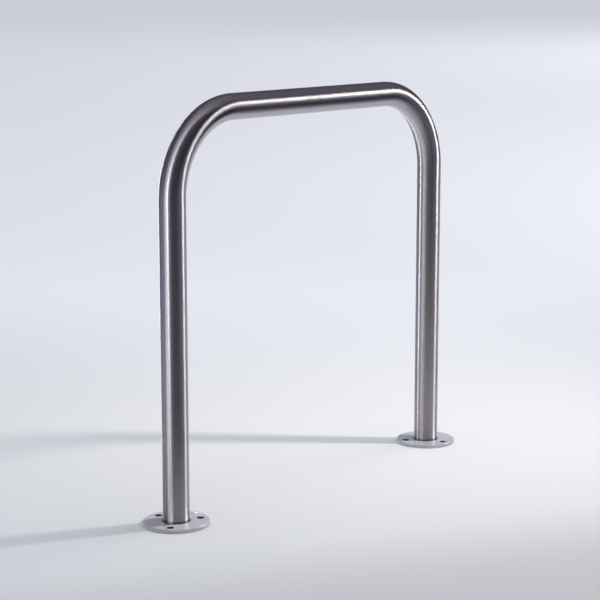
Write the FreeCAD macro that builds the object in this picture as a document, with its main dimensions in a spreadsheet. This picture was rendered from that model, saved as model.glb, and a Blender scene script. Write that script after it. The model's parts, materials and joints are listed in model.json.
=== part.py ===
import FreeCAD, Part
import math
import os

import Sketcher


# Hoop bike rack of bright stainless tube, millimetres, +Z up.
# The hoop stands in the XZ plane, with the middle of the space between its feet
# at the origin and the undersides of its base flanges on Z = 0.

DOCUMENT_NAME = "HoopBikeRack"
SHEET_NAME = "Sizes"
PARTS_FOLDER = "parts"

# Name, value and meaning of every size that can be set by itself.
DRIVING_SIZES = (
    ("overall_width", 800.0, "outside to outside over the two legs"),
    ("overall_height", 760.0, "ground to the top of the bar"),
    ("tube_diameter", 48.3, "outside diameter of the hoop's tube"),
    ("tube_wall", 2.0, "wall of the hoop's tube"),
    ("bend_radius", 155.0, "bends, to the middle of the tube"),
    ("flange_diameter", 120.0, "base flange"),
    ("flange_thickness", 6.0, "base flange"),
    ("rim_chamfer", 0.8, "upper edge of the flange's rim"),
    ("bore_clearance", 0.8, "gap all round between the tube and the flange's bore"),
    ("bore_chamfer", 0.4, "upper edge of the flange's bore"),
    ("hole_circle_diameter", 90.0, "circle through the middles of the anchor holes"),
    ("hole_diameter", 14.0, "anchor hole for a 12 mm anchor"),
    ("hole_count", 3, "anchor holes in each flange"),
    ("hole_chamfer", 0.5, "upper edge of each anchor hole"),
    ("right_flange_turn", 180.0, "turn of the right flange against the left one, degrees"),
    ("tube_end_height", 3.0, "tube's cut end above the flange's underside"),
    ("weld_inset", 0.4, "lowest point of the weld above the flange's underside"),
)

# Sizes that follow from the driving ones, as formulas of the same sheet.
DERIVED_SIZES = (
    ("tube_radius", "=tube_diameter / 2"),
    ("tube_inner_radius", "=tube_diameter / 2 - tube_wall"),
    ("leg_offset", "=(overall_width - tube_diameter) / 2"),
    ("bar_height", "=overall_height - tube_diameter / 2"),
    ("bore_radius", "=tube_diameter / 2 + bore_clearance"),
)


def fill_sheet(doc):
    """The spreadsheet with the driving sizes and the ones that follow from them."""
    sheet = doc.addObject("Spreadsheet::Sheet", SHEET_NAME)
    row = 1
    for alias, value, meaning in DRIVING_SIZES:
        sheet.set("A%d" % row, alias)
        sheet.set("B%d" % row, repr(value))
        sheet.setAlias("B%d" % row, alias)
        sheet.set("C%d" % row, meaning)
        row += 1
    for alias, formula in DERIVED_SIZES:
        sheet.set("A%d" % row, alias)
        sheet.set("B%d" % row, formula)
        sheet.setAlias("B%d" % row, alias)
        row += 1
    doc.recompute()
    return sheet


def of_sheet(formula):
    """A formula on the sheet's aliases, written as other objects have to write it."""
    words = formula.split()
    known = {size[0] for size in DRIVING_SIZES + DERIVED_SIZES}
    return " ".join(SHEET_NAME + "." + word if word in known else word for word in words)


def new_body(doc, label):
    """A body that is one piece of the rack; its label names the piece."""
    body = doc.addObject("PartDesign::Body", label)
    body.Label = label
    return body


def origin_feature(body, role):
    """One of the body's own origin planes or axes."""
    for feature in body.Origin.OriginFeatures:
        if feature.Role == role:
            return feature
    raise ValueError("no origin feature " + role)


def new_sketch(body, name, plane_role):
    """An empty sketch on one of the body's origin planes."""
    sketch = body.newObject("Sketcher::SketchObject", name)
    sketch.AttachmentSupport = [(origin_feature(body, plane_role), "")]
    sketch.MapMode = "FlatFace"
    return sketch


def fix_size(sketch, kind, *where, formula):
    """A dimension of the sketch, bound to a formula on the sheet."""
    start_value = float(sketch.evalExpression(of_sheet(formula)))
    index = sketch.addConstraint(Sketcher.Constraint(kind, *where, start_value))
    sketch.setExpression("Constraints[%d]" % index, of_sheet(formula))


def add_ring_circles(sketch, formulas):
    """Circles about the sketch's origin, one for each formula of a radius."""
    for number, formula in enumerate(formulas):
        circle = Part.Circle(FreeCAD.Vector(0, 0, 0), FreeCAD.Vector(0, 0, 1), 10.0 + number)
        curve = sketch.addGeometry(circle)
        sketch.addConstraint(Sketcher.Constraint("Coincident", curve, 3, -1, 1))
        fix_size(sketch, "Radius", curve, formula=formula)


def make_hoop_tube(doc, sheet):
    """The bent tube: two legs, two bends and the top bar, swept in one pass."""
    body = new_body(doc, "hoop_tube")

    # The middle line is drawn near its real size, because the sketch's solver
    # keeps the side of each arc that it starts from.
    leg = sheet.leg_offset
    bend = sheet.bend_radius
    top = sheet.bar_height
    low = sheet.tube_end_height
    spring = top - bend
    inner = leg - bend
    path = new_sketch(body, "MiddleLine", "XZ_Plane")
    upwards = FreeCAD.Vector(0, 0, 1)
    quarter = math.pi / 2
    left_leg = path.addGeometry(Part.LineSegment(
        FreeCAD.Vector(-leg, low, 0), FreeCAD.Vector(-leg, spring, 0)))
    left_bend = path.addGeometry(Part.ArcOfCircle(
        Part.Circle(FreeCAD.Vector(-inner, spring, 0), upwards, bend), quarter, 2 * quarter))
    bar = path.addGeometry(Part.LineSegment(
        FreeCAD.Vector(-inner, top, 0), FreeCAD.Vector(inner, top, 0)))
    right_bend = path.addGeometry(Part.ArcOfCircle(
        Part.Circle(FreeCAD.Vector(inner, spring, 0), upwards, bend), 0, quarter))
    right_leg = path.addGeometry(Part.LineSegment(
        FreeCAD.Vector(leg, spring, 0), FreeCAD.Vector(leg, low, 0)))

    tangents = (
        (left_leg, 2, left_bend, 2),
        (left_bend, 1, bar, 1),
        (bar, 2, right_bend, 2),
        (right_bend, 1, right_leg, 1),
    )
    for first, first_end, second, second_end in tangents:
        path.addConstraint(Sketcher.Constraint("Tangent", first, first_end, second, second_end))
    path.addConstraint(Sketcher.Constraint("Vertical", left_leg))
    path.addConstraint(Sketcher.Constraint("Vertical", right_leg))
    path.addConstraint(Sketcher.Constraint("Horizontal", bar))
    path.addConstraint(Sketcher.Constraint("Equal", left_bend, right_bend))
    path.addConstraint(Sketcher.Constraint("Symmetric", left_leg, 1, right_leg, 2, -2))
    fix_size(path, "Radius", left_bend, formula="bend_radius")
    fix_size(path, "DistanceX", left_leg, 1, -1, 1, formula="leg_offset")
    fix_size(path, "DistanceY", -1, 1, left_leg, 1, formula="tube_end_height")
    fix_size(path, "DistanceY", -1, 1, bar, 1, formula="bar_height")

    section = new_sketch(body, "TubeSection", "XY_Plane")
    section.setExpression("AttachmentOffset.Base.x", of_sheet("- leg_offset"))
    section.setExpression("AttachmentOffset.Base.z", of_sheet("tube_end_height"))
    add_ring_circles(section, ("tube_radius", "tube_inner_radius"))
    doc.recompute()

    sweep = body.newObject("PartDesign::AdditivePipe", "BentTube")
    sweep.Profile = section
    sweep.Spine = path
    body.Tip = sweep
    doc.recompute()
    return body


def circular_edges(shape, radius, height):
    """Names of the round edges of a shape that have this radius and height."""
    names = []
    tolerance = 1e-4
    for number, edge in enumerate(shape.Edges, start=1):
        curve = edge.Curve
        if not isinstance(curve, Part.Circle):
            continue
        same_radius = abs(curve.Radius - radius) < tolerance
        same_height = abs(curve.Center.z - height) < tolerance
        if same_radius and same_height:
            names.append("Edge%d" % number)
    return names


def chamfer_edge(doc, body, name, base, radius, height, alias):
    """A chamfer on the body's round edge at this radius and height."""
    chamfer = body.newObject("PartDesign::Chamfer", name)
    chamfer.Base = (base, circular_edges(base.Shape, radius, height))
    chamfer.setExpression("Size", of_sheet(alias))
    body.Tip = chamfer
    doc.recompute()
    return chamfer


def make_base_flange(doc, sheet, label):
    """A round plate with the tube's bore and anchor holes, turned and drilled."""
    body = new_body(doc, label)

    outline = new_sketch(body, "PlateOutline", "XY_Plane")
    add_ring_circles(outline, ("flange_diameter / 2", "bore_radius"))
    plate = body.newObject("PartDesign::Pad", "Plate")
    plate.Profile = outline
    plate.setExpression("Length", of_sheet("flange_thickness"))
    doc.recompute()

    top = sheet.flange_thickness
    rim = chamfer_edge(doc, body, "RimChamfer", plate, sheet.flange_diameter / 2, top, "rim_chamfer")
    bore = chamfer_edge(doc, body, "BoreChamfer", rim, sheet.bore_radius, top, "bore_chamfer")

    drill_mark = new_sketch(body, "DrillMark", "XY_Plane")
    drill_mark.setExpression("AttachmentOffset.Base.z", of_sheet("flange_thickness"))
    mark = drill_mark.addGeometry(Part.Circle(
        FreeCAD.Vector(0, sheet.hole_circle_diameter / 2, 0), FreeCAD.Vector(0, 0, 1), 5.0))
    drill_mark.addConstraint(Sketcher.Constraint("PointOnObject", mark, 3, -2))
    fix_size(drill_mark, "DistanceY", -1, 1, mark, 3, formula="hole_circle_diameter / 2")
    fix_size(drill_mark, "Radius", mark, formula="hole_diameter / 2")
    doc.recompute()

    before = bore.Shape.Volume
    hole = body.newObject("PartDesign::Hole", "AnchorHole")
    hole.Profile = drill_mark
    doc.recompute()
    hole.Threaded = False
    hole.DepthType = "ThroughAll"
    hole.HoleCutType = "Countersink"
    hole.HoleCutCustomValues = True
    hole.HoleCutCountersinkAngle = 90
    hole.setExpression("Diameter", of_sheet("hole_diameter"))
    hole.setExpression("HoleCutDiameter", of_sheet("hole_diameter + 2 * hole_chamfer"))
    body.Tip = hole
    doc.recompute()

    ring = body.newObject("PartDesign::PolarPattern", "AnchorHoles")
    ring.Originals = [hole]
    ring.Axis = (origin_feature(body, "Z_Axis"), [""])
    ring.Angle = 360
    ring.setExpression("Occurrences", of_sheet("hole_count"))
    body.Tip = ring
    doc.recompute()

    cut = before - body.Shape.Volume
    least = sheet.hole_count * math.pi * (sheet.hole_diameter / 2) ** 2 * top
    if cut < least * 0.999:
        raise ValueError("the anchor holes don't go through " + label)
    return body


def make_foot_weld(doc, sheet, label):
    """The weld bead that joins the tube's cut end to the flange's bore, from below."""
    body = new_body(doc, label)

    # The section is a three-cornered fillet: under the tube's inner edge, where the
    # tube's end plane meets the bore, and low on the bore's wall.
    at_tube = FreeCAD.Vector(sheet.tube_inner_radius, sheet.tube_end_height, 0)
    at_corner = FreeCAD.Vector(sheet.bore_radius, sheet.tube_end_height, 0)
    at_bore = FreeCAD.Vector(sheet.bore_radius, sheet.weld_inset, 0)
    section = new_sketch(body, "WeldSection", "XZ_Plane")
    top_side = section.addGeometry(Part.LineSegment(at_tube, at_corner))
    bore_side = section.addGeometry(Part.LineSegment(at_corner, at_bore))
    face = section.addGeometry(Part.LineSegment(at_bore, at_tube))

    section.addConstraint(Sketcher.Constraint("Coincident", top_side, 2, bore_side, 1))
    section.addConstraint(Sketcher.Constraint("Coincident", bore_side, 2, face, 1))
    section.addConstraint(Sketcher.Constraint("Coincident", face, 2, top_side, 1))
    section.addConstraint(Sketcher.Constraint("Horizontal", top_side))
    section.addConstraint(Sketcher.Constraint("Vertical", bore_side))
    fix_size(section, "DistanceX", -1, 1, top_side, 1, formula="tube_inner_radius")
    fix_size(section, "DistanceX", -1, 1, top_side, 2, formula="bore_radius")
    fix_size(section, "DistanceY", -1, 1, top_side, 1, formula="tube_end_height")
    fix_size(section, "DistanceY", -1, 1, bore_side, 2, formula="weld_inset")
    doc.recompute()

    bead = body.newObject("PartDesign::Revolution", "Bead")
    bead.Profile = section
    bead.ReferenceAxis = (origin_feature(body, "Z_Axis"), [""])
    bead.Angle = 360
    body.Tip = bead
    doc.recompute()
    return body


def place_on_foot(body, side, turn=None):
    """Moves a foot's piece under its leg: side -1 is the left foot, +1 the right one."""
    body.Placement = FreeCAD.Placement(
        FreeCAD.Vector(0, 0, 0), FreeCAD.Rotation(FreeCAD.Vector(0, 0, 1), 90))
    body.setExpression("Placement.Rotation.Angle", of_sheet(turn) if turn else "0")
    body.setExpression("Placement.Base.x", of_sheet("%d * leg_offset" % side))


def check_document(doc, pieces):
    """Stops if any object failed or any piece isn't one valid closed solid."""
    for thing in doc.Objects:
        if "Invalid" in thing.State or "Error" in thing.State:
            raise ValueError("failed: " + thing.Label)
    for piece in pieces:
        shape = piece.Shape
        if shape.isNull() or not shape.isValid() or len(shape.Solids) != 1:
            raise ValueError("not one valid solid: " + piece.Label)


def check_tube_volume(sheet, tube):
    """Compares the swept tube with its section times its middle line's length."""
    area = math.pi * (sheet.tube_radius ** 2 - sheet.tube_inner_radius ** 2)
    legs = 2 * (sheet.bar_height - sheet.bend_radius - sheet.tube_end_height)
    bar = 2 * (sheet.leg_offset - sheet.bend_radius)
    bends = math.pi * sheet.bend_radius
    expected = area * (legs + bar + bends)
    if abs(tube.Shape.Volume / expected - 1) > 1e-3:
        raise ValueError("the tube's volume isn't its section times its length")


def main():
    doc = FreeCAD.newDocument(DOCUMENT_NAME)
    sheet = fill_sheet(doc)

    tube = make_hoop_tube(doc, sheet)
    pieces = [tube]
    for name, side, turn in (("left", -1, None), ("right", 1, "right_flange_turn")):
        flange = make_base_flange(doc, sheet, name + "_base_flange")
        place_on_foot(flange, side, turn)
        weld = make_foot_weld(doc, sheet, name + "_foot_weld")
        place_on_foot(weld, side)
        pieces += [flange, weld]
    doc.recompute()

    check_document(doc, pieces)
    check_tube_volume(sheet, tube)
    os.makedirs(PARTS_FOLDER, exist_ok=True)
    for piece in pieces:
        piece.Shape.exportStep(os.path.join(PARTS_FOLDER, piece.Label + ".step"))
        box = piece.Shape.BoundBox
        print("%-18s %8.2f cm3  x %.2f..%.2f  y %.2f..%.2f  z %.2f..%.2f" % (
            piece.Label, piece.Shape.Volume / 1000,
            box.XMin, box.XMax, box.YMin, box.YMax, box.ZMin, box.ZMax))


main()
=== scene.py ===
import json
import math

import bmesh
import bpy
from mathutils import Matrix, Vector


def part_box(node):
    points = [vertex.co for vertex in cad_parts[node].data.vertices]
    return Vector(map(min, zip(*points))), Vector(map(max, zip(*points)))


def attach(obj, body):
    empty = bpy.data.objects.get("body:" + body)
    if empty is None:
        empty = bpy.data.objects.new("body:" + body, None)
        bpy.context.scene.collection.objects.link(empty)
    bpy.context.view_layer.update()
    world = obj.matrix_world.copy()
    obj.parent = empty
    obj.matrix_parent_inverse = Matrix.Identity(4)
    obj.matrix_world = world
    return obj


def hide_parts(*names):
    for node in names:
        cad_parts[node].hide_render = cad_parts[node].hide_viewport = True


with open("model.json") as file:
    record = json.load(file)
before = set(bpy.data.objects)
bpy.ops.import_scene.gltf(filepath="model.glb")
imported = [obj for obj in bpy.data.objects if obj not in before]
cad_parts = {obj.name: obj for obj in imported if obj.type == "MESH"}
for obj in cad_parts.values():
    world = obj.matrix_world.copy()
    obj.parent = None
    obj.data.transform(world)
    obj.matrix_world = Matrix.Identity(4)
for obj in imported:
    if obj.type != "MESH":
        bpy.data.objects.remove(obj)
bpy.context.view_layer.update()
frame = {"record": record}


bl_info = {
    "name": "Hoop Bike Rack",
    "version": (1, 0, 0),
    "blender": (4, 5, 0),
    "location": "3D View > Sidebar > Hoop Rack",
    "description": "Dresses a hoop bike rack: its bright tube, base flanges, foot welds and studio",
    "category": "Object",
}

MM = 0.001

# Sizes that the frame gives, in metres.
TUBE_LOW, TUBE_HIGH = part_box("hoop_tube")
TUBE_DIAMETER = TUBE_HIGH[1] - TUBE_LOW[1]
TUBE_END_HEIGHT = TUBE_LOW[2]
LEG_OFFSET = (TUBE_HIGH[0] - TUBE_LOW[0] - TUBE_DIAMETER) / 2
BAR_HEIGHT = TUBE_HIGH[2] - TUBE_DIAMETER / 2
FLANGE_LOW, FLANGE_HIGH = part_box("left_base_flange")
FLANGE_DIAMETER = FLANGE_HIGH[1] - FLANGE_LOW[1]
FLANGE_THICKNESS = FLANGE_HIGH[2] - FLANGE_LOW[2]
WELD_LOW, WELD_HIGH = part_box("left_foot_weld")
BORE_RADIUS = (WELD_HIGH[1] - WELD_LOW[1]) / 2
ANCHORS = next(m for m in frame["record"]["mounts"] if m["name"] == "left_anchor_holes")["dims"]
HOLE_CIRCLE_RADIUS = ANCHORS["pcd_mm"] / 2 * MM
HOLE_RADIUS = ANCHORS["hole_r_mm"] * MM
HOLE_COUNT = ANCHORS["count"]
FEET = (("left", -LEG_OFFSET), ("right", LEG_OFFSET))

BLACK = (0.0, 0.0, 0.0, 1.0)
WHITE = (1.0, 1.0, 1.0)


# Settings

class RackTubeSettings(bpy.types.PropertyGroup):
    bend_radius: bpy.props.FloatProperty(
        name="Bend radius", description="Radius of both bends, to the middle of the tube",
        default=0.155, unit="LENGTH")
    wall: bpy.props.FloatProperty(
        name="Wall", description="Thickness of the tube's wall", default=0.002, unit="LENGTH")
    facets: bpy.props.IntProperty(
        name="Facets", description="Faces round the tube", default=128)
    brushing: bpy.props.FloatProperty(
        name="Brushing", description="How far the brushed grooves tilt the surface", default=0.12)
    steel: bpy.props.FloatVectorProperty(
        name="Steel", description="Colour of the brushed tube", subtype="COLOR",
        default=(0.555, 0.54, 0.575))


class RackFlangeSettings(bpy.types.PropertyGroup):
    rim_chamfer: bpy.props.FloatProperty(
        name="Rim chamfer", description="Chamfer on the upper edge of the rim",
        default=0.0008, unit="LENGTH")
    bore_chamfer: bpy.props.FloatProperty(
        name="Bore chamfer", description="Chamfer on the upper edge of the bore",
        default=0.0004, unit="LENGTH")
    hole_chamfer: bpy.props.FloatProperty(
        name="Hole chamfer", description="Chamfer on the upper edge of each anchor hole",
        default=0.0005, unit="LENGTH")
    left_hole_angle: bpy.props.FloatProperty(
        name="Left hole angle", description="Direction of the left flange's first hole from +X",
        default=math.pi / 2, subtype="ANGLE")
    right_hole_angle: bpy.props.FloatProperty(
        name="Right hole angle", description="Direction of the right flange's first hole from +X",
        default=3 * math.pi / 2, subtype="ANGLE")
    steel: bpy.props.FloatVectorProperty(
        name="Steel", description="Colour of the polished plates", subtype="COLOR",
        default=(0.63, 0.64, 0.685))


class RackWeldSettings(bpy.types.PropertyGroup):
    ripples: bpy.props.IntProperty(
        name="Ripples", description="Ripples round each weld bead", default=68)
    ripple_height: bpy.props.FloatProperty(
        name="Ripple height", description="How far the ripples stand up", default=0.00018,
        unit="LENGTH")
    steel: bpy.props.FloatVectorProperty(
        name="Steel", description="Colour of the weld metal", subtype="COLOR",
        default=(0.50, 0.49, 0.47))


class RackStudioSettings(bpy.types.PropertyGroup):
    camera_place: bpy.props.FloatVectorProperty(
        name="Camera place", description="Where the camera stands", subtype="TRANSLATION",
        unit="LENGTH", default=(-2.567, -2.148, 0.968))
    camera_turn: bpy.props.FloatProperty(
        name="Camera turn", description="Turn of the view from +Y towards +X", subtype="ANGLE",
        default=math.radians(49.71))
    camera_tilt: bpy.props.FloatProperty(
        name="Camera tilt", description="Tilt of the view above the horizon", subtype="ANGLE",
        default=math.radians(-10.39))
    lens: bpy.props.FloatProperty(
        name="Lens", description="Focal length on a sensor 36 mm wide", default=106.6)
    paper: bpy.props.FloatVectorProperty(
        name="Paper", description="Colour of the floor", subtype="COLOR",
        default=(0.95, 0.95, 0.95))


# Shader maths

def both_ways(operation):
    """The two methods of an operator: with the field first, and with the other value first."""
    def field_first(field, other):
        return field.calculate(operation, field, other)

    def field_last(field, other):
        return field.calculate(operation, other, field)

    return field_first, field_last


class Field:
    """A shader value; sums and products of fields add the nodes that they need."""

    def __init__(self, board, socket):
        self.board = board
        self.socket = socket

    def calculate(self, operation, *values):
        """The field of a new Math node on these values."""
        return self.board.add("ShaderNodeMath", {"operation": operation}, dict(enumerate(values)))

    __add__, __radd__ = both_ways("ADD")
    __sub__, __rsub__ = both_ways("SUBTRACT")
    __mul__, __rmul__ = both_ways("MULTIPLY")
    __truediv__, __rtruediv__ = both_ways("DIVIDE")
    __pow__, __rpow__ = both_ways("POWER")

    def sine(self):
        return self.calculate("SINE", self)

    def cosine(self):
        return self.calculate("COSINE", self)

    def absolute(self):
        return self.calculate("ABSOLUTE", self)

    def between(self, low, high):
        """0 below low, 1 above high and smooth in the middle."""
        return self.board.add(
            "ShaderNodeMapRange", {"interpolation_type": "SMOOTHSTEP"},
            {"Value": self, "From Min": low, "From Max": high})


class Board:
    """The nodes of one material or world."""

    def __init__(self, tree):
        self.tree = tree
        tree.nodes.clear()

    def add(self, kind, settings=None, inputs=None, output=0):
        """A node of this kind, as the field of one of its outputs."""
        node = self.tree.nodes.new(kind)
        for name, value in (settings or {}).items():
            setattr(node, name, value)
        for name, value in (inputs or {}).items():
            self.feed(node.inputs[name], value)
        return Field(self, node.outputs[output]) if len(node.outputs) else None

    def feed(self, socket, value):
        """Links a field to the socket, or sets the socket to a plain value."""
        if isinstance(value, Field):
            self.tree.links.new(value.socket, socket)
        else:
            socket.default_value = value

    def mix_colours(self, share, first, second):
        """The first colour where share is 0 and the second where it is 1."""
        inputs = {0: share, 6: first, 7: second}
        return self.add("ShaderNodeMix", {"data_type": "RGBA"}, inputs, output=2)

    def darken(self, colour, shade):
        """The colour where shade is 1, down to black where it is 0."""
        return self.mix_colours(shade, BLACK, colour)

    def vector(self, x, y, z):
        """A vector of three numbers."""
        return self.add("ShaderNodeCombineXYZ", None, {"X": x, "Y": y, "Z": z})

    def parts_of(self, vector):
        """The three numbers of a vector, as fields."""
        split = self.add("ShaderNodeSeparateXYZ", None, {"Vector": vector})
        return [Field(self, socket) for socket in split.socket.node.outputs]

    def noise(self, vector, scale=1.0, detail=2.0, roughness=0.5):
        """Smooth noise between 0 and 1, with this many cells to a unit of the vector."""
        inputs = {"Vector": vector, "Scale": scale, "Detail": detail, "Roughness": roughness}
        return self.add("ShaderNodeTexNoise", None, inputs)

    def tilted_normal(self, direction, slope):
        """The surface normal, tilted by a slope along a direction."""
        normal = self.add("ShaderNodeNewGeometry", output=1)
        push = self.scaled(direction, slope)
        tilted = self.add("ShaderNodeVectorMath", {"operation": "ADD"}, {0: normal, 1: push})
        return self.add("ShaderNodeVectorMath", {"operation": "NORMALIZE"}, {0: tilted})

    def scaled(self, vector, factor):
        """The vector times a number."""
        inputs = {0: vector, "Scale": factor}
        return self.add("ShaderNodeVectorMath", {"operation": "SCALE"}, inputs)

    def finish_surface(self, **inputs):
        """A Principled surface with these sockets, and the output node."""
        shader = self.add("ShaderNodeBsdfPrincipled")
        sockets = shader.socket.node.inputs
        for name, value in inputs.items():
            self.feed(sockets[name.replace("_", " ")], value)
        self.add("ShaderNodeOutputMaterial", None, {"Surface": shader})

    def finish_glow(self, colour, strength=1.0):
        """A surface that only shines, and the output node."""
        shine = self.add("ShaderNodeEmission", None, {"Color": colour, "Strength": strength})
        self.add("ShaderNodeOutputMaterial", None, {"Surface": shine})


# Materials

def opaque(colour, strengths=WHITE):
    """The colour with each channel times its strength, and with no transparency."""
    return tuple(channel * strength for channel, strength in zip(colour, strengths)) + (1.0,)


def new_material(name):
    """An empty material, and the board of its nodes."""
    material = bpy.data.materials.new(name)
    material.use_nodes = True
    return material, Board(material.node_tree)


def scuff(along, turn, place, length, round_place, width):
    """1 at a spot on the tube, fading to 0 over a length along it and a share of its girth."""
    by_length = 1 - ((along - place) / length).absolute().between(0.0, 1.0)
    by_girth = 1 - ((turn - round_place) / width).absolute().between(0.0, 1.0)
    return by_length * by_girth


# Scuffs: distance from the left end and length in metres, place and width as shares of the
# girth, strength.
SCUFFS = (
    (0.085, 0.05, 0.58, 0.08, 0.9),
    (0.16, 0.09, 0.66, 0.05, 0.5),
    (1.01, 0.012, 0.70, 0.20, 0.6),
    (1.035, 0.01, 0.68, 0.16, 0.5),
    (1.22, 0.02, 0.62, 0.10, 0.4),
    (1.93, 0.03, 0.74, 0.10, 0.8),
)


def brushed_tube_steel(settings):
    """Stainless tube brushed round its girth, so highlights stretch along it."""
    material, board = new_material("brushed_tube_steel")
    uv = board.add("ShaderNodeUVMap", {"uv_map": "along_and_round"})
    along, turn, _ = board.parts_of(uv)
    angle = turn * (2 * math.pi)
    across = angle.cosine()
    deep = angle.sine()
    height = board.parts_of(board.add("ShaderNodeTexCoord", output=3))[2]

    def tube_noise(per_metre, round_girth, detail, roughness=0.5):
        """Noise with this many cells to a metre of tube, and its own scale round the girth."""
        place = board.vector(along * per_metre, across * round_girth, deep * round_girth)
        return board.noise(place, 1.0, detail, roughness)

    # Fine grooves run round the tube and tilt its surface to and fro along the middle line.
    grooves = tube_noise(9000, 1.5, 0.0)
    middle_line_direction = board.add(
        "ShaderNodeAttribute", {"attribute_name": "middle_line"}, output=1)
    normal = board.tilted_normal(middle_line_direction, (grooves - 0.5) * settings.brushing)

    bands = tube_noise(140, 0.8, 2.0)
    clouds = tube_noise(14, 0.9, 3.0, 0.55)
    streaks = tube_noise(5, 26, 2.0, 0.6)
    fine_rings = tube_noise(620, 0.4, 1.0)

    marks = 0.0
    for place, length, round_place, width, strength in SCUFFS:
        marks = scuff(along, turn, place, length, round_place, width) * strength + marks
    marks = marks * tube_noise(160, 30, 3.0, 0.7).between(0.4, 0.6)

    # The rings show on the lower legs, and painted shade darkens the tube where it enters its
    # flange.
    low = 1 - height.between(0.06, 0.34)
    above_bore = height.between(FLANGE_THICKNESS - 1 * MM, FLANGE_THICKNESS + 6 * MM)
    shade = (0.86 + bands * 0.08 + streaks * 0.2) * (1 + (fine_rings - 0.5) * low * 0.4)
    shade = shade * (0.3 + above_bore * 0.7) * (1 - marks * 0.12)
    warm = opaque(settings.steel, (1.06, 1.0, 0.95))
    cool = opaque(settings.steel, (0.95, 0.995, 1.05))
    steel = board.mix_colours(tube_noise(1.6, 7, 2.0).between(0.35, 0.65), warm, cool)
    board.finish_surface(
        Base_Color=board.darken(steel, shade), Metallic=1.0,
        Roughness=clouds * 0.05 + bands * 0.02 + marks * 0.12 + 0.37,
        Anisotropic=1.0, Anisotropic_Rotation=0.25, Normal=normal)
    return material


def polished_plate_steel(settings):
    """Flange steel turned on a lathe, with painted shade: darker along the bore, in the holes and
    on the rim's side.
    """
    material, board = new_material("polished_plate_steel")
    place = board.add("ShaderNodeTexCoord", output=3)
    x, y, height = board.parts_of(place)
    radius = (x * x + y * y) ** 0.5
    rings_per_metre = 2600
    rings = board.noise(board.vector(radius * rings_per_metre, x * 14, y * 14), 1.0, 3.0, 0.6)
    clouds = board.noise(place, 55.0, 3.0)
    smears = board.noise(place, 21.0, 2.0)

    rim = FLANGE_DIAMETER / 2
    top = FLANGE_THICKNESS
    # Painted shade: a dark ring on the top face round the bore where the tube stands, a darker side
    # of the rim, and dark walls below the top face in the bore and the holes.
    by_bore = 1 - radius.between(BORE_RADIUS + 0.4 * MM, BORE_RADIUS + 2.4 * MM)
    on_rim = radius.between(rim - 0.15 * MM, rim - 0.02 * MM)
    below_top = 1 - height.between(top - 0.9 * MM, top - 0.4 * MM)
    in_hole = below_top * (1 - radius.between(rim - 4 * MM, rim - 3 * MM))
    shade = (1 - by_bore * 0.65) * (1 - on_rim * 0.32) * (1 - in_hole * 0.8)
    shade = shade * (0.82 + smears * 0.3) * (0.9 + rings * 0.2)
    bump = board.add("ShaderNodeBump", None, {
        "Height": rings, "Strength": 0.04, "Distance": 0.1 * MM})
    board.finish_surface(
        Base_Color=board.darken(opaque(settings.steel), shade), Metallic=0.6,
        Roughness=clouds * 0.1 + 0.2, Normal=bump)
    return material


def weld_steel(settings):
    """Bare weld metal with fine scale and a touch of straw."""
    material, board = new_material("weld_steel")
    place = board.add("ShaderNodeTexCoord", output=3)
    grain = board.noise(place, 900.0, 4.0)
    clouds = board.noise(place, 130.0, 2.0)
    straw = (0.42, 0.33, 0.20, 1.0)
    bump = board.add("ShaderNodeBump", None, {
        "Height": grain, "Strength": 0.4, "Distance": 0.2 * MM})
    board.finish_surface(
        Base_Color=board.mix_colours(clouds.between(0.45, 0.75), opaque(settings.steel), straw),
        Metallic=1.0, Roughness=grain * 0.2 + 0.3, Normal=bump)
    return material


def paper_floor(settings):
    """Matt paper with a faint tooth and painted shade: a little darker in front and around the
    rack, which evens out the lamps' light.
    """
    material, board = new_material("paper_floor")
    place = board.add("ShaderNodeTexCoord", output=3)
    tooth = board.noise(place, 400.0, 3.0)
    x, y, _ = board.parts_of(place)
    # Painted shade: darker around the rack, where the lamps' pool falls, and towards the front.
    behind = (x * 0.763 + y * 0.647).between(0.5, 2.3)
    past_front = (x * 0.504 + y * 0.952).between(-0.72, -0.32)
    shade = (0.99 + tooth * 0.02) * (0.78 + behind * 0.22) * (0.82 + past_front * 0.18)
    board.finish_surface(
        Base_Color=board.darken(opaque(settings.paper), shade), Roughness=0.85,
        Specular_IOR_Level=0.0)
    return material


# Meshes

def new_piece(name, mesh, material):
    """An object of this mesh and material in the scene."""
    piece = bpy.data.objects.new(name, mesh)
    bpy.context.scene.collection.objects.link(piece)
    piece.data.materials.append(material)
    return piece


def turned_place(angle, radius, height):
    """The place at an angle from +X and a radius from the middle, at this height."""
    return (radius * math.cos(angle), radius * math.sin(angle), height)


def finished_mesh(name, work):
    """The mesh of this work, with its faces turned outwards."""
    bmesh.ops.recalc_face_normals(work, faces=work.faces[:])
    mesh = bpy.data.meshes.new(name)
    work.to_mesh(mesh)
    work.free()
    return mesh


def shade_with_edges(mesh, limit_degrees=25):
    """Smooth faces with sharp edges where the surface turns by more than the limit."""
    mesh.polygons.foreach_set("use_smooth", [True] * len(mesh.polygons))
    mesh.set_sharp_from_angle(angle=math.radians(limit_degrees))
    mesh.update()


def straight_run(start, end, outward, steps):
    """Places along a straight stretch, all but its end, each with its outward side."""
    return [(start + (end - start) * (step / steps), outward) for step in range(steps)]


def bend_run(centre, radius, start_angle, steps):
    """Places round a quarter bend, all but its end, each with its outward side."""
    run = []
    for step in range(steps):
        angle = start_angle - math.pi / 2 * step / steps
        outward = Vector((math.cos(angle), 0, math.sin(angle)))
        run.append((centre + outward * radius, outward))
    return run


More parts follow.
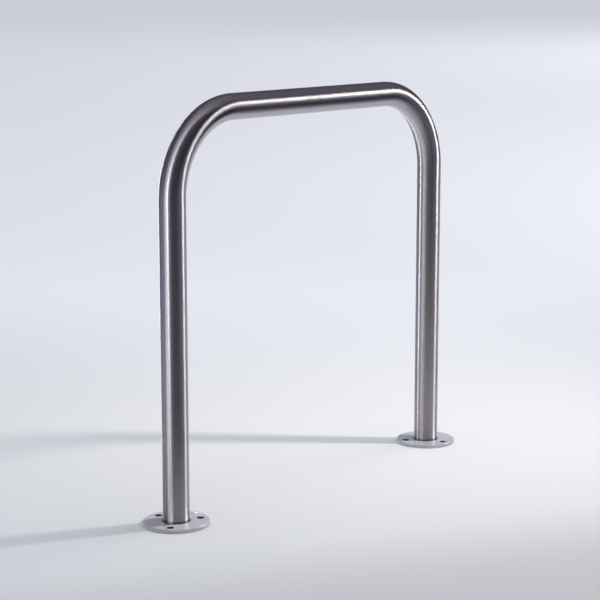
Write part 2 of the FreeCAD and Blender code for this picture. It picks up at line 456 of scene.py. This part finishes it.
def middle_line(bend_radius):
    """Stations of the tube from the left foot to the right: place, outward side, distance."""
    leg_steps, bend_steps, bar_steps = 24, 72, 24
    left, up, right = Vector((-1, 0, 0)), Vector((0, 0, 1)), Vector((1, 0, 0))
    spring = BAR_HEIGHT - bend_radius
    half_bar = LEG_OFFSET - bend_radius
    left_foot = Vector((-LEG_OFFSET, 0, TUBE_END_HEIGHT))
    left_spring = Vector((-LEG_OFFSET, 0, spring))
    bar_start = Vector((-half_bar, 0, BAR_HEIGHT))
    bar_end = Vector((half_bar, 0, BAR_HEIGHT))
    right_spring = Vector((LEG_OFFSET, 0, spring))
    right_foot = Vector((LEG_OFFSET, 0, TUBE_END_HEIGHT))
    left_centre = Vector((-half_bar, 0, spring))
    right_centre = Vector((half_bar, 0, spring))

    leg_length = spring - TUBE_END_HEIGHT
    bend_length = bend_radius * math.pi / 2
    runs = (
        (leg_length, straight_run(left_foot, left_spring, left, leg_steps)),
        (bend_length, bend_run(left_centre, bend_radius, math.pi, bend_steps)),
        (2 * half_bar, straight_run(bar_start, bar_end, up, bar_steps)),
        (bend_length, bend_run(right_centre, bend_radius, math.pi / 2, bend_steps)),
        (leg_length, straight_run(right_spring, right_foot, right, leg_steps)),
    )
    stations = []
    distance = 0.0
    for length, run in runs:
        for step, (place, outward) in enumerate(run):
            share = step / len(run)
            stations.append((place, outward, distance + length * share))
        distance += length
    stations.append((right_foot, right, distance))
    return stations


def tube_ring(work, station, radius, count):
    """The corners of one girth of the tube, counted from its inner side."""
    place, outward, _ = station
    across = Vector((0, 1, 0))
    corners = []
    for step in range(count):
        angle = 2 * math.pi * step / count
        offset = -outward * math.cos(angle) + across * math.sin(angle)
        corners.append(work.verts.new(place + offset * radius))
    return corners


def tube_skin(work, uv, first, second, first_distance, second_distance):
    """Faces between two girths, with the distance along and the share of the girth as UVs."""
    count = len(first)
    for step in range(count):
        after = (step + 1) % count
        corners = [first[step], first[after], second[after], second[step]]
        marks = [(first_distance, step), (first_distance, step + 1),
                 (second_distance, step + 1), (second_distance, step)]
        face = work.faces.new(corners)
        for loop, (distance, turn) in zip(face.loops, marks):
            loop[uv].uv = (distance, turn / count)


def tube_mesh(settings):
    """The hollow bent tube with its two cut ends."""
    outer = TUBE_DIAMETER / 2
    inner = outer - settings.wall
    stations = middle_line(settings.bend_radius)
    work = bmesh.new()
    uv = work.loops.layers.uv.new("along_and_round")
    outer_rings = [tube_ring(work, station, outer, settings.facets) for station in stations]
    inner_rings = [tube_ring(work, station, inner, settings.facets) for station in stations]
    distances = [distance for _, _, distance in stations]
    for rings in (outer_rings, inner_rings):
        for first, second, start, end in zip(rings, rings[1:], distances, distances[1:]):
            tube_skin(work, uv, first, second, start, end)
    for cut in (0, -1):
        edge = distances[cut]
        tube_skin(work, uv, outer_rings[cut], inner_rings[cut], edge, edge + settings.wall)
    mesh = finished_mesh("hoop_tube_skin", work)
    shade_with_edges(mesh)
    mark_middle_line(mesh, stations)
    level_brushing_frame(mesh)
    return mesh


def mark_middle_line(mesh, stations):
    """Stores the direction of the middle line at each corner, for the brushing."""
    directions = []
    for _, outward, _ in stations:
        directions.append((outward.z, 0.0, -outward.x))
    ring_size = len(mesh.vertices) // (2 * len(stations))
    numbers = [value for direction in directions * 2 for value in direction * ring_size]
    mark = mesh.attributes.new("middle_line", "FLOAT_VECTOR", "POINT")
    mark.data.foreach_set("vector", numbers)


def level_brushing_frame(mesh):
    """Makes the steel's own tangent point along Y everywhere, square to the hoop.

    That tangent runs round the upright axis of the texture box, and the box is set far off
    to the left and very deep.
    """
    mesh.use_auto_texspace = False
    mesh.texspace_location = (-10, 0, 0)
    mesh.texspace_size = (1, 1000, 1)


def turned_mesh(name, sections):
    """A closed ring about Z, through loops of corners (radius, height) at even steps."""
    work = bmesh.new()
    rings = []
    for step, section in enumerate(sections):
        angle = 2 * math.pi * step / len(sections)
        rings.append([
            work.verts.new(turned_place(angle, radius, height)) for radius, height in section])
    for here, there in zip(rings, rings[1:] + rings[:1]):
        for corner in range(len(here)):
            after = (corner + 1) % len(here)
            work.faces.new([here[corner], there[corner], there[after], here[after]])
    return finished_mesh(name, work)


def drill_mesh(settings):
    """The cutter of one anchor hole: a rod with a cone that cuts the upper edge's chamfer."""
    past = 2 * MM
    top = FLANGE_THICKNESS
    wide = HOLE_RADIUS + settings.hole_chamfer
    outline = [
        (HOLE_RADIUS, -past),
        (HOLE_RADIUS, top - settings.hole_chamfer),
        (wide, top),
        (wide + past, top + past),
    ]
    steps = 64
    work = bmesh.new()
    rings = []
    for radius, height in outline:
        rings.append([
            work.verts.new(turned_place(2 * math.pi * step / steps, radius, height))
            for step in range(steps)])
    for low, high in zip(rings, rings[1:]):
        for step in range(steps):
            after = (step + 1) % steps
            work.faces.new([low[step], low[after], high[after], high[step]])
    work.faces.new(rings[0])
    work.faces.new(rings[-1])
    return finished_mesh("anchor_drill", work)


def drill_holes(plate, first_hole_angle, settings, material):
    """Cuts the anchor holes into a flange that still stands in the middle of the frame."""
    drills = []
    for number in range(HOLE_COUNT):
        angle = first_hole_angle + 2 * math.pi * number / HOLE_COUNT
        drill = new_piece("anchor_drill", drill_mesh(settings), material)
        drill.location = turned_place(angle, HOLE_CIRCLE_RADIUS, 0)
        cut = plate.modifiers.new("hole_%d" % number, "BOOLEAN")
        cut.operation = "DIFFERENCE"
        cut.solver = "EXACT"
        cut.object = drill
        drills.append(drill)
    graph = bpy.context.evaluated_depsgraph_get()
    drilled = bpy.data.meshes.new_from_object(plate.evaluated_get(graph))
    if len(drilled.polygons) <= len(plate.data.polygons):
        raise RuntimeError("The anchor holes of " + plate.name + " were not cut")
    plate.modifiers.clear()
    plate.data = drilled
    for drill in drills:
        bpy.data.objects.remove(drill)


def build_flange(name, foot_x, first_hole_angle, settings, material):
    """One base flange: a turned plate with a bore, chamfered edges and drilled holes."""
    facets = 192
    rim = FLANGE_DIAMETER / 2
    top = FLANGE_THICKNESS
    lower_chamfer = 0.15 * MM
    section = [
        (BORE_RADIUS, 0),
        (BORE_RADIUS, top - settings.bore_chamfer),
        (BORE_RADIUS + settings.bore_chamfer, top),
        (rim - settings.rim_chamfer, top),
        (rim, top - settings.rim_chamfer),
        (rim, lower_chamfer),
        (rim - lower_chamfer, 0),
    ]
    plate = new_piece(name, turned_mesh(name, [section] * facets), material)
    drill_holes(plate, first_hole_angle, settings, material)
    shade_with_edges(plate.data)
    plate.location.x = foot_x
    return plate


def weld_mesh(name, settings, tube_wall):
    """A weld bead in the corner of the tube's end and the bore, with a crowned, rippled face."""
    crown_height = 0.12 * MM
    across_steps = 9
    steps_per_ripple = 6
    end = WELD_HIGH[2]
    at_tube = Vector((TUBE_DIAMETER / 2 - tube_wall, end))
    at_bore = Vector((BORE_RADIUS, WELD_LOW[2]))
    chord = at_bore - at_tube
    crown_side = Vector((chord.y, -chord.x)).normalized()
    sections = []
    for step in range(settings.ripples * steps_per_ripple):
        phase = (step / steps_per_ripple) % 1.0
        ripple = settings.ripple_height * (1 - phase) ** 2
        section = [(BORE_RADIUS, end)]
        for part in range(across_steps + 1):
            share = part / across_steps
            crown = 4 * share * (1 - share)
            place = at_tube + chord * share + crown_side * crown * (crown_height + ripple)
            section.append((place.x, place.y))
        sections.append(section)
    mesh = turned_mesh(name, sections)
    shade_with_edges(mesh, 50)
    return mesh


# Studio

# Colours of what the steel mirrors, as the strength of each channel: a lamp, the dark side
# of the room and its pale side.
LAMP_TINT = (1.0, 0.965, 0.90)
DARK_TINT = (1.08, 0.94, 1.38)
PALE_TINT = (0.95, 0.98, 1.15)

# What glows on the studio's walls: direction and half width in degrees, lower and upper
# height and fade in metres, brightness.
WALL_GLOWS = (
    (15, 35, -3.0, 0.3, 0.2, 0.65),     # pale backdrop past the right edges
    (50, 62, -3.0, 1.0, 0.3, 0.36),     # pale backdrop behind the rack
    (40, 50, 0.5, 1.0, 0.3, 0.06),      # part of the backdrop that the flanges mirror
    (350, 18, -3.0, 0.3, 0.3, 0.4),     # right end of the backdrop
    (150, 55, -3.0, 1.5, 0.3, 0.1),     # left wall
    (163, 11, -3.0, 1.2, 0.3, 1.6),     # bright door on the left
    (180, 30, 1.6, 9.0, 0.3, 0.8),      # lamp high on the left
    (286, 28, 0.2, 1.2, 0.2, 0.34),     # right wall
)


def plain_object(name, corners, faces, material):
    """A mesh object of these corners and faces in the scene."""
    mesh = bpy.data.meshes.new(name)
    mesh.from_pydata(corners, [], faces)
    thing = new_piece(name, mesh, material)
    return thing


def add_level_sheet(name, half, height, material):
    """A level square sheet about the middle of the frame, of this half width."""
    corners = [
        (-half, -half, height), (half, -half, height), (half, half, height), (-half, half, height)]
    return plain_object(name, corners, [(0, 1, 2, 3)], material)


def add_floor(settings):
    """A wide sheet of pale paper, just below the flanges, that the steel doesn't mirror."""
    floor = add_level_sheet("studio_floor", half=60.0, height=0, material=paper_floor(settings))
    floor.location.z = -0.5 * MM
    floor.visible_glossy = False


def glowing(name, brightness, tint=WHITE):
    """A material that shines evenly."""
    material, board = new_material(name)
    board.finish_glow(opaque(tint), brightness)
    return material


def only_in_reflections(thing):
    """The steel mirrors this object, and nothing else sees it or gets light from it."""
    thing.visible_camera = False
    thing.visible_diffuse = False
    thing.visible_shadow = False
    thing.visible_transmission = False


def add_upright_card(name, start, end, low, high, brightness):
    """A mirrored upright card over the line from start to end, between two heights."""
    corners = [(*start, low), (*end, low), (*end, high), (*start, high)]
    glow = glowing(name + "_glow", brightness, LAMP_TINT)
    only_in_reflections(plain_object(name, corners, [(0, 1, 2, 3)], glow))


def add_strip(name, place, width, low, high, brightness):
    """A mirrored upright strip at a place on the plan, turned to the rack."""
    side = Vector((-place[1], place[0])).normalized() * width / 2
    middle = Vector(place)
    add_upright_card(name, tuple(middle - side), tuple(middle + side), low, high, brightness)


def facing(x, y, degrees, half_width):
    """1 where a wall lies in this direction from the rack, softly down to 0 at the half width."""
    angle = math.radians(degrees)
    along = x * math.cos(angle) + y * math.sin(angle)
    return along.between(math.cos(math.radians(half_width)), 1.0)


def between_heights(height, low, high, fade):
    """1 between two heights, fading to 0 over a distance on either side of each."""
    return height.between(low - fade, low + fade) * (1 - height.between(high - fade, high + fade))


def room_glow(radius):
    """What the studio's walls send to the steel: dark in front, pale behind, lamps at the left."""
    material, board = new_material("room_glow")
    x, y, height = board.parts_of(board.add("ShaderNodeTexCoord", output=3))
    x = x / radius
    y = y / radius
    away_from_camera = 1 - facing(x, y, 235, 65)
    high_up = between_heights(height, 1.3, 9.0, 0.3)
    total = away_from_camera * high_up * 0.05 + 0.018
    for direction, half_width, low, high, fade, brightness in WALL_GLOWS:
        patch = facing(x, y, direction, half_width)
        patch = patch * between_heights(height, low, high, fade)
        total = total + patch * brightness
    tint = board.mix_colours(total.between(0.05, 0.4), opaque(DARK_TINT), opaque(PALE_TINT))
    board.finish_glow(board.scaled(tint, total))
    return material


def add_disc(name, place, radius, brightness, tint=WHITE):
    """A mirrored level disc around a place."""
    corners = [
        Vector(place) + Vector(turned_place(math.radians(turn), radius, 0))
        for turn in range(0, 360, 10)]
    faces = [tuple(range(len(corners)))]
    glow = glowing(name + "_glow", brightness, tint)
    only_in_reflections(plain_object(name, corners, faces, glow))


def ground_glow():
    """Pale behind a line in front of the rack and right under it, dark towards the camera."""
    material, board = new_material("ground_glow")
    x, y, _ = board.parts_of(board.add("ShaderNodeTexCoord", output=3))
    behind = (y + x * 0.3 + 0.85).between(-0.35, 0.4)
    below = 1 - ((x * x + y * y) ** 0.5).between(0.5, 1.3)
    share = behind + below - behind * below
    pale = opaque(PALE_TINT, (1.02, 1.02, 1.02))
    dark = opaque(DARK_TINT, (0.01, 0.01, 0.01))
    board.finish_glow(board.mix_colours(share, dark, pale))
    return material


def add_room():
    """The walls, the ceiling and the ground of the studio as the steel mirrors them."""
    radius = 3.2
    bottom = -2.2
    top = 3.6
    turns = [math.radians(turn) for turn in range(0, 360, 5)]
    corners = [turned_place(turn, radius, height) for height in (bottom, top) for turn in turns]
    count = len(turns)
    faces = [(k, (k + 1) % count, count + (k + 1) % count, count + k) for k in range(count)]
    only_in_reflections(plain_object("room_walls", corners, faces, room_glow(radius)))
    add_disc("room_ceiling", (0, 0, top), radius + 0.1, 0.145, (1.03, 0.96, 1.24))
    add_disc("room_ground", (0, 0, bottom), radius + 0.1, 0.02)

    # The ground that the steel mirrors lies lower than the paper, so that it fades softly.
    ground = add_level_sheet("pale_ground", half=3.0, height=-0.6, material=ground_glow())
    only_in_reflections(ground)

    # The lit paper round each foot, and under each flange a dark disc of painted shade that the
    # steel mirrors through the holes.
    add_disc("left_foot_mat", (-LEG_OFFSET, 0, -0.4 * MM), 0.26, 0.66)
    add_disc("right_foot_mat", (LEG_OFFSET, 0, -0.3 * MM), 0.52, 0.85)
    for side, foot_x in FEET:
        add_disc(side + "_hole_shade", (foot_x, 0, -0.2 * MM), FLANGE_DIAMETER / 2, 0.03)


def add_cards():
    """The bright upright cards that draw the long stripes on the tube."""
    # Each strip: place on the plan, width, lower and upper height in metres, brightness.
    add_strip("left_strip", (-1.2, 0.21), 0.12, -1.2, 0.45, 2.6)
    add_strip("left_head", (-1.22, -0.02), 0.15, 0.48, 0.75, 15)
    add_strip("back_strip", (-0.05, 0.60), 0.07, -0.6, 0.9, 8)

    # The lamp on the right, with a dimmer skirt below it.
    lamp_line = ((1.86, -2.02), (2.43, -1.27))
    skirt_top = 1.24
    add_upright_card("right_lamp", *lamp_line, skirt_top, 2.1, 15)
    add_upright_card("right_lamp_skirt", *lamp_line, 0.85, skirt_top, 3)


def add_soft_box(name, place, target, size, power, spread=math.pi):
    """A rectangular light of this many watts, turned to a target, that no steel mirrors."""
    light = bpy.data.lights.new(name, "AREA")
    light.shape = "RECTANGLE"
    light.size, light.size_y = size
    light.energy = power
    light.spread = spread
    lamp = bpy.data.objects.new(name, light)
    bpy.context.scene.collection.objects.link(lamp)
    lamp.location = place
    lamp.rotation_euler = (Vector(target) - Vector(place)).to_track_quat("-Z", "Y").to_euler()
    lamp.visible_glossy = False
    lamp.visible_camera = False
    return lamp


def light_only(lamp, name):
    """The lamp lights this piece and nothing else, but everything can shade it from the lamp."""
    lit = bpy.data.collections.new(lamp.name + "_lit")
    lit.objects.link(bpy.data.objects[name])
    lamp.light_linking.receiver_collection = lit


def add_lamps():
    """The key lamp, two wide lamps over the open floor and the key's helpers on the flanges."""
    key_place = (0.95, -0.75, 1.5)
    key_target = (0.0, 0.75, 0)
    key_size = (0.1, 0.3)
    key_spread = math.radians(110)
    add_soft_box("key_lamp", key_place, key_target, key_size, 6.7, key_spread)
    add_soft_box("near_lamp", (6.2, -2.6, 5), (6.2, -2.6, 0), (5, 5), 185)
    add_soft_box("far_lamp", (21.3, -0.3, 10), (21.3, -0.3, 0), (10, 10), 1040)
    for side, power in (("left", 32), ("right", 11)):
        lamp = add_soft_box(
            side + "_plate_lamp", key_place, key_target, key_size, power, key_spread)
        light_only(lamp, side + "_flange_plate")


def add_world():
    """Even, slightly cool light from all sides."""
    world = bpy.data.worlds.new("studio_air")
    bpy.context.scene.world = world
    world.use_nodes = True
    board = Board(world.node_tree)
    air = board.add("ShaderNodeBackground", None, {
        "Color": (0.92, 0.95, 1.05, 1.0), "Strength": 0.67})
    board.add("ShaderNodeOutputWorld", None, {"Surface": air})


def add_camera(settings):
    """The camera at the photo's viewing angle."""
    data = bpy.data.cameras.new("photo_camera")
    data.lens = settings.lens
    data.sensor_width = 36.0
    camera = bpy.data.objects.new("photo_camera", data)
    bpy.context.scene.collection.objects.link(camera)
    turn = Matrix.Rotation(-settings.camera_turn, 4, "Z")
    tilt = Matrix.Rotation(math.pi / 2 + settings.camera_tilt, 4, "X")
    camera.matrix_world = Matrix.Translation(settings.camera_place) @ turn @ tilt
    bpy.context.scene.camera = camera


# Operators, one for each piece or group of like pieces

class RACK_OT_build_tube(bpy.types.Operator):
    """Sweeps the bent tube and dresses it in brushed steel"""
    bl_idname = "rack.build_tube"
    bl_label = "Build hoop tube"

    def execute(self, context):
        settings = context.scene.rack_tube
        tube = new_piece("hoop_tube_skin", tube_mesh(settings), brushed_tube_steel(settings))
        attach(tube, "root")
        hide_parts("hoop_tube")
        return {"FINISHED"}


class RACK_OT_build_flanges(bpy.types.Operator):
    """Turns and drills the two base flanges"""
    bl_idname = "rack.build_flanges"
    bl_label = "Build base flanges"

    def execute(self, context):
        settings = context.scene.rack_flange
        steel = polished_plate_steel(settings)
        hole_angles = (settings.left_hole_angle, settings.right_hole_angle)
        for (side, foot_x), angle in zip(FEET, hole_angles):
            plate = build_flange(side + "_flange_plate", foot_x, angle, settings, steel)
            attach(plate, "root")
            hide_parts(side + "_base_flange")
        return {"FINISHED"}


class RACK_OT_build_welds(bpy.types.Operator):
    """Lays the weld beads under the flanges"""
    bl_idname = "rack.build_welds"
    bl_label = "Build foot welds"

    def execute(self, context):
        settings = context.scene.rack_weld
        steel = weld_steel(settings)
        tube_wall = context.scene.rack_tube.wall
        for side, foot_x in FEET:
            name = side + "_weld_bead"
            bead = new_piece(name, weld_mesh(name, settings, tube_wall), steel)
            bead.location.x = foot_x
            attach(bead, "root")
            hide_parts(side + "_foot_weld")
        return {"FINISHED"}


class RACK_OT_build_studio(bpy.types.Operator):
    """Sets out the paper floor, the soft lights, the mirrored cards and the camera"""
    bl_idname = "rack.build_studio"
    bl_label = "Build studio"

    def execute(self, context):
        settings = context.scene.rack_studio
        add_floor(settings)
        add_world()
        add_lamps()
        add_room()
        add_cards()
        add_camera(settings)
        context.scene.view_settings.view_transform = "Standard"
        return {"FINISHED"}


# Sidebar and registering

class RACK_PT_sidebar(bpy.types.Panel):
    """Lists the builders of the hoop rack"""
    bl_idname = "RACK_PT_sidebar"
    bl_label = "Hoop Rack"
    bl_space_type = "VIEW_3D"
    bl_region_type = "UI"
    bl_category = "Hoop Rack"

    def draw(self, context):
        scene = context.scene
        groups = (
            (RACK_OT_build_tube, scene.rack_tube,
             ("bend_radius", "wall", "facets", "brushing", "steel")),
            (RACK_OT_build_flanges, scene.rack_flange,
             ("rim_chamfer", "bore_chamfer", "hole_chamfer", "left_hole_angle",
              "right_hole_angle", "steel")),
            (RACK_OT_build_welds, scene.rack_weld,
             ("ripples", "ripple_height", "steel")),
            (RACK_OT_build_studio, scene.rack_studio,
             ("camera_place", "camera_turn", "camera_tilt", "lens", "paper")),
        )
        for operator, settings, names in groups:
            box = self.layout.box()
            for name in names:
                box.prop(settings, name)
            box.operator(operator.bl_idname)


CLASSES = (
    RackTubeSettings,
    RackFlangeSettings,
    RackWeldSettings,
    RackStudioSettings,
    RACK_OT_build_tube,
    RACK_OT_build_flanges,
    RACK_OT_build_welds,
    RACK_OT_build_studio,
    RACK_PT_sidebar,
)

SCENE_SETTINGS = {
    "rack_tube": RackTubeSettings,
    "rack_flange": RackFlangeSettings,
    "rack_weld": RackWeldSettings,
    "rack_studio": RackStudioSettings,
}


def register():
    for item in CLASSES:
        bpy.utils.register_class(item)
    for name, group in SCENE_SETTINGS.items():
        setattr(bpy.types.Scene, name, bpy.props.PointerProperty(type=group))


def unregister():
    for name in SCENE_SETTINGS:
        delattr(bpy.types.Scene, name)
    for item in reversed(CLASSES):
        bpy.utils.unregister_class(item)


def main():
    register()
    bpy.ops.rack.build_tube()
    bpy.ops.rack.build_flanges()
    bpy.ops.rack.build_welds()
    bpy.ops.rack.build_studio()


if __name__ == "__main__":
    main()
